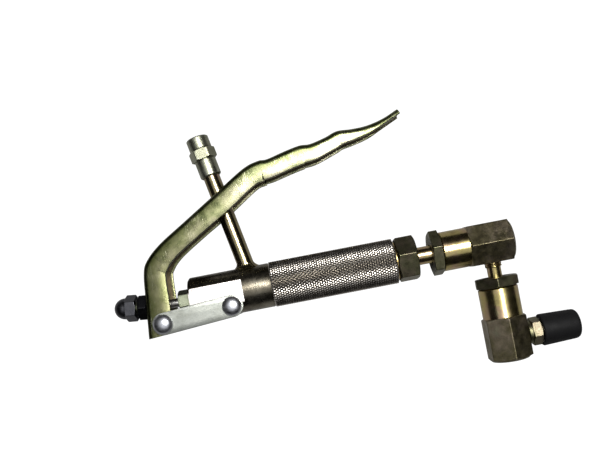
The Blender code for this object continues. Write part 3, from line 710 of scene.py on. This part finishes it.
# ---------------------------------------------------------------- lever
# outside of the web: u, v, depth of the channel, half width
LEVER_STATIONS = [
    (-27.1, -19.5, 16.9, 12.1), (-26.8, -16.4, 16.6, 12.1), (-25.0, 1.05, 15.5, 12.1),
    (-22.8, 21.2, 14.4, 12.1), (-19.0, 29.6, 14.4, 12.1), (-9.1, 38.35, 13.3, 12.1),
    (8.6, 49.2, 13.0, 12.1), (29.0, 61.6, 13.6, 12.1), (50.2, 74.5, 13.2, 12.1),
    (60.6, 77.85, 13.6, 12.1), (66.7, 77.9, 12.3, 12.1), (78.2, 80.6, 12.3, 12.1),
    (88.2, 82.4, 12.2, 12.1), (95.0, 82.15, 10.9, 12.1), (104.65, 84.3, 9.9, 11.9),
    (112.95, 86.95, 9.75, 11.6), (122.0, 86.6, 7.65, 11.2), (131.95, 87.0, 5.6, 10.6),
    (143.2, 89.6, 3.4, 9.8), (152.95, 93.8, 3.4, 8.6),
]
SHEET, BEND, PER_STATION = 2.5, 3.4, 9


def lever_path():
    points = [Vector(s) for s in LEVER_STATIONS]
    ends = [points[0] * 2 - points[1]] + points + [points[-1] * 2 - points[-2]]
    path = []
    for k in range(1, len(points)):
        p0, p1, p2, p3 = ends[k - 1:k + 3]
        for step in range(PER_STATION):
            t = step / PER_STATION
            path.append(0.5 * (
                2 * p1 + (p2 - p0) * t + (2 * p0 - 5 * p1 + 4 * p2 - p3) * t ** 2
                + (3 * p1 - p0 - 3 * p2 + p3) * t ** 3))
    path.append(points[-1])
    return path


LIP_SHOWS = 1.6          # how far in from the sheet's edge the inside keeps the sheet's own material, before the inside's painted shade begins


def channel(depth, half):
    """The U's closed outline as (sideways, inwards, does it take the inside's painted shade) points, with
    rounded edges.
    """
    edge, inside, lip = half - SHEET, 1.4, 0.45
    end = depth - lip
    floor = min(SHEET + inside, end - 0.05)
    turn = max(depth - LIP_SHOWS, floor + 0.02)
    bend = min(BEND, end - 0.1)
    outer = [(half * 0.35, 0)] + [(half - bend + x, bend + y) for x, y in arc((0, 0), bend, 270, 360, 7)]
    outer += [(half, (end + bend) / 2), (half, end), (half - lip * 0.3, depth - lip * 0.3)]
    outer += [(half - lip, depth), (edge + lip, depth), (edge + lip * 0.3, depth - lip * 0.3)]
    right = [(x, y, False) for x, y in outer + [(edge, min(end, turn + 0.9))]]
    right += [(edge, turn, True), (edge, floor, True)]
    right += [(edge - inside * 0.3, SHEET + (floor - SHEET) * 0.3, True), (edge - inside, SHEET, True)]
    left = [(-x, y, False) for x, y, in_shade in right]
    for k, (x, y, in_shade) in enumerate(right[:-1]):
        left[k + 1] = (left[k + 1][0], left[k + 1][1], in_shade)
    return right + left[::-1]


def lever_mesh():
    bm = bmesh.new()
    path = lever_path()
    loops = []
    deepness = bm.verts.layers.float.new("deep")
    for k, point in enumerate(path):
        ahead = path[min(k + 1, len(path) - 1)] - path[max(k - 1, 0)]
        tangent = Vector((ahead[0], ahead[1])).normalized()
        inward = Vector((tangent.y, -tangent.x))
        loop = []
        section = channel(point[2], point[3])
        for side, deep, in_shade in section:
            place = Vector((point[0], point[1])) + inward * deep
            vert = bm.verts.new((place.x, place.y, side))
            vert[deepness] = deep
            loop.append(vert)
        loops.append(loop)
    for one, two in zip(loops, loops[1:]):
        for i in range(len(one)):
            j = (i + 1) % len(one)
            face = bm.faces.new([one[i], one[j], two[j], two[i]])
            # the inside faces take the second, dark material: painted shade
            face.material_index = 1 if section[i][2] else 0
    bm.faces.new(loops[0])
    bm.faces.new(loops[-1])
    return bm


SLOT_HALF, SLOT_FROM, SLOT_TO = 6.8, 11.5, 44.0
PIN_HOLE_R, SCREW_HOLE_R, NUT_HOLE_R = 3.25, 4.3, 4.15
LINK_HALF, LINK_IN, LINK_OUT = 7.0, 12.4, 15.2


def slot():
    bm = bmesh.new()
    outline = [(y, x) for x, y in arc((SLOT_TO - SLOT_HALF, 0), SLOT_HALF, 90, -90, 16)]
    outline += [(y, x) for x, y in arc((SLOT_FROM + SLOT_HALF, 0), SLOT_HALF, 270, 90, 16)]
    low = [bm.verts.new((x, y, -9)) for x, y in outline]
    high = [bm.verts.new((x, y, 9)) for x, y in outline]
    bm.faces.new(low)
    bm.faces.new(high)
    for i in range(len(low)):
        j = (i + 1) % len(low)
        bm.faces.new([low[i], low[j], high[j], high[i]])
    return bm


def foot_trim():
    """All that lies below the links' lower edge, in a frame at the lever pin along the links."""
    bm = bmesh.new()
    bmesh.ops.create_cube(bm, size=60)
    bmesh.ops.translate(bm, vec=(0, -30 - LINK_HALF, 0), verts=bm.verts)
    return bm


drills = [
    (rod(-20, 20, PIN_HOLE_R), AT_A), (rod(2.0, 10.0, SCREW_HOLE_R), SCREW),
    (slot(), axes((0, 46.0, 0), (-0.5, 0.866, 0))),
    (foot_trim(), axes(AT_A.translation, (0, 0, 1), (*(PIN_B - PIN_A).xy, 0))),
]
piece("lever_pressed", lever_mesh(), Matrix(), "lever", "lever", lever_zinc, drills, 50, lever_inside_shade)

# ---------------------------------------------------------------- links, pins, screw


def link_plate(z0, z1):
    """An obround plate with eased edges, between the two pins."""
    bm = bmesh.new()
    length = (PIN_A - PIN_B).length
    loops = []
    eased_edges = ((z0, 0.35), (z0 + 0.1, 0.1), (z0 + 0.35, 0), (z1 - 0.35, 0), (z1 - 0.1, 0.1), (z1, 0.35))
    for z, inset in eased_edges:
        outline = list(arc((0, 0), LINK_HALF - inset, 90, -90, 28))
        outline += list(arc((-length, 0), LINK_HALF - inset, 270, 90, 28))
        loops.append([bm.verts.new((x, y, z)) for x, y in outline])
    for one, two in zip(loops, loops[1:]):
        for i in range(len(one)):
            j = (i + 1) % len(one)
            bm.faces.new([one[i], one[j], two[j], two[i]])
    bm.faces.new(loops[0])
    bm.faces.new(loops[-1])
    return bm


lean = math.atan2(PIN_A.y - PIN_B.y, PIN_A.x - PIN_B.x) - math.pi
link_place = AT_B @ Matrix.Rotation(lean, 4, "Z")
for side, z0, z1 in (("upper", LINK_IN, LINK_OUT), ("lower", -LINK_OUT, -LINK_IN)):
    holes = [(rod(-20, 20, PIN_HOLE_R), AT_A), (rod(-20, 20, PIN_HOLE_R), AT_B)]
    plate = link_plate(z0, z1)
    piece(f"link_{side}_plate", plate, link_place, "link", f"link_plate_{side}", link_zinc, holes)


def rivet():
    """A pin with a domed head at each end."""
    base = LINK_OUT + 0.2
    rise = HEAD_TOP - base - 0.7
    dome = [(base, 3.0, 0), (base, 5.9), (base + 0.35, 6.1), (base + 0.7, 6.05)]
    quarter = [math.radians(90 * step / 14) for step in range(1, 14)]
    dome += [(base + 0.7 + rise * math.sin(a), 6.05 * math.cos(a)) for a in quarter]
    dome += [(HEAD_TOP, 0)]
    mirrored = [(-p[0], *p[1:]) for p in reversed(dome)]
    outline = [(p[0], p[1]) for p in mirrored + dome]
    return spun(outline, even_angles(72))


piece("lever_pin_domed", rivet(), AT_A, "link", "lever_pin", rivet_steel)
piece("link_pin_domed", rivet(), AT_B, "gun_body", "body_link_pin", rivet_steel)

SCREW_LEN, NOSE_R = 25.6, 4.0
nose = [(-y, x) for x, y in arc((0, 0), NOSE_R, 90, 0, 12)]
nose[0] = (-NOSE_R, 0)
shank = nose + [(1.0, NOSE_R), (SCREW_LEN - 0.6, NOSE_R), (SCREW_LEN, 3.4), (SCREW_LEN, 0)]
shank = stepped(shank, 0.16, lambda a, b: abs(a[1] - NOSE_R) < 0.01 and abs(b[1] - NOSE_R) < 0.01)
screw_thread = threaded(1.0, SCREW_LEN - 0.6, NOSE_R, 1.25, 0.6)
piece(
    "adjusting_screw_threaded", spun(shank, even_angles(60), screw_thread),
    SCREW, "lever", "adjusting_screw", hex_small)
WEB_OUT, NUT_LEN = 6.4, 5.85
hex_piece(
    "lock_nut_hex", 15.5, WEB_OUT + 0.1, WEB_OUT + NUT_LEN, 
    [(WEB_OUT + 0.1, NUT_HOLE_R), (WEB_OUT + NUT_LEN, NUT_HOLE_R)],
    SCREW, "lever", "lock_nut", black_steel)
CAP_FROM = WEB_OUT + NUT_LEN + 1.6
CAP_HEX_TO, DOME_R = CAP_FROM + 6.8, 6.75
cap = [(CAP_HEX_TO, DOME_R), (CAP_HEX_TO + 1.0, DOME_R)]
cap += [(CAP_HEX_TO + 1.0 + x, y) for x, y in arc((0, 0), DOME_R, 90, 0, 14)][1:-1]
cap += [(CAP_HEX_TO + 1.0 + DOME_R, 0)]
hex_piece(
    "acorn_nut_domed", 15.0, CAP_FROM, CAP_HEX_TO, [(CAP_FROM, NUT_HOLE_R), (26.2, NUT_HOLE_R), (26.2, 0)],
    SCREW, "lever",
    "acorn_nut", acorn_steel, math.radians(30), cap)

# ---------------------------------------------------------------- inner pieces keep their CAD shape
INNER = {
    "packing_washer": brass_plain, "stem_packing": packing, "valve_seat": plain_steel,
    "valve_ball": plain_steel, "return_spring": plain_steel, "spring_stop": plain_steel,
    "valve_stem": plain_steel,
    "thrust_washer_1": brass_plain, "thrust_washer_2": brass_plain, "seal_ring_1": seal_rubber,
    "seal_ring_2": seal_rubber, "coupler_seal": seal_rubber, "coupler_spring": plain_steel,
    "coupler_jaw_1": jaw_steel, "coupler_jaw_2": jaw_steel, "coupler_jaw_3": jaw_steel,
}
for name, material in INNER.items():
    mesh = nodes[name].data
    mesh.materials.clear()
    mesh.materials.append(material)
    mesh.shade_smooth()
    mesh.set_sharp_from_angle(angle=math.radians(35))

# ---------------------------------------------------------------- table, lights, camera
TABLE = 2.0
bm = bmesh.new()
bmesh.ops.create_grid(bm, x_segments=1, y_segments=1, size=TABLE)
mesh = bpy.data.meshes.new("table")
bm.to_mesh(mesh)
bm.free()
table = bpy.data.objects.new("table", mesh)
bpy.context.scene.collection.objects.link(table)
table.location.z = -0.0002
white = bpy.data.materials.new("table_white")
white.use_nodes = True
tree = white.node_tree
paper = tree.nodes["Principled BSDF"]
paper.inputs["Base Color"].default_value = (0.3, 0.3, 0.3, 1)
paper.inputs["Roughness"].default_value = 0.9
glow = tree.nodes.new("ShaderNodeEmission")
glow.inputs["Strength"].default_value = 1.1
seen = tree.nodes.new("ShaderNodeLightPath")
blend = tree.nodes.new("ShaderNodeMixShader")
tree.links.new(seen.outputs["Is Camera Ray"], blend.inputs["Fac"])
tree.links.new(paper.outputs["BSDF"], blend.inputs[1])
tree.links.new(glow.outputs["Emission"], blend.inputs[2])
tree.links.new(blend.outputs["Shader"], tree.nodes["Material Output"].inputs["Surface"])
mesh.materials.append(white)

world = bpy.data.worlds.new("studio")
bpy.context.scene.world = world
world.use_nodes = True
world.node_tree.nodes["Background"].inputs["Color"].default_value = (0.012, 0.012, 0.013, 1)
world.node_tree.nodes["Background"].inputs["Strength"].default_value = 1.0

EYE, EYE_HEIGHT = Vector((84.0, 2.0)), 450.0
CENTRE = Vector((79.0, 32.8))    # the point of the gun's plane in the middle of the view
VIEW_TURN = math.radians(-10.9)
LENS, SENSOR = 42.2, 36.0


def lamp(name, spot, aim, size, watts, colour=(1, 1, 1)):
    light = bpy.data.lights.new(name, "AREA")
    light.shape = "DISK"
    light.size = size
    light.energy = watts
    light.color = colour
    obj = bpy.data.objects.new(name, light)
    bpy.context.scene.collection.objects.link(obj)
    place = ORIGIN + Vector(spot) * MM
    obj.location = place
    obj.rotation_euler = (ORIGIN + Vector(aim) * MM - place).to_track_quat("-Z", "Y").to_euler()
    obj.visible_camera = False


centre = (*CENTRE, 0)
lamp("key", (255, 215, 1000), centre, 0.36, 12.0, (1.0, 0.99, 0.97))
lamp("ceiling", (60, 60, 900), centre, 1.3, 3.0, (0.96, 0.98, 1.0))

camera = bpy.data.cameras.new("camera")
camera.sensor_width = SENSOR
camera.lens = LENS
camera.clip_start = 0.01
aside = Matrix.Rotation(-VIEW_TURN, 2) @ (CENTRE - EYE) / EYE_HEIGHT * LENS / SENSOR
camera.shift_x, camera.shift_y = aside
eye = bpy.data.objects.new("camera", camera)
bpy.context.scene.collection.objects.link(eye)
eye.location = ORIGIN + Vector((*EYE, EYE_HEIGHT)) * MM
eye.rotation_euler = (0, 0, VIEW_TURN)
bpy.context.scene.camera = eye
bpy.context.scene.view_settings.view_transform = "Standard"
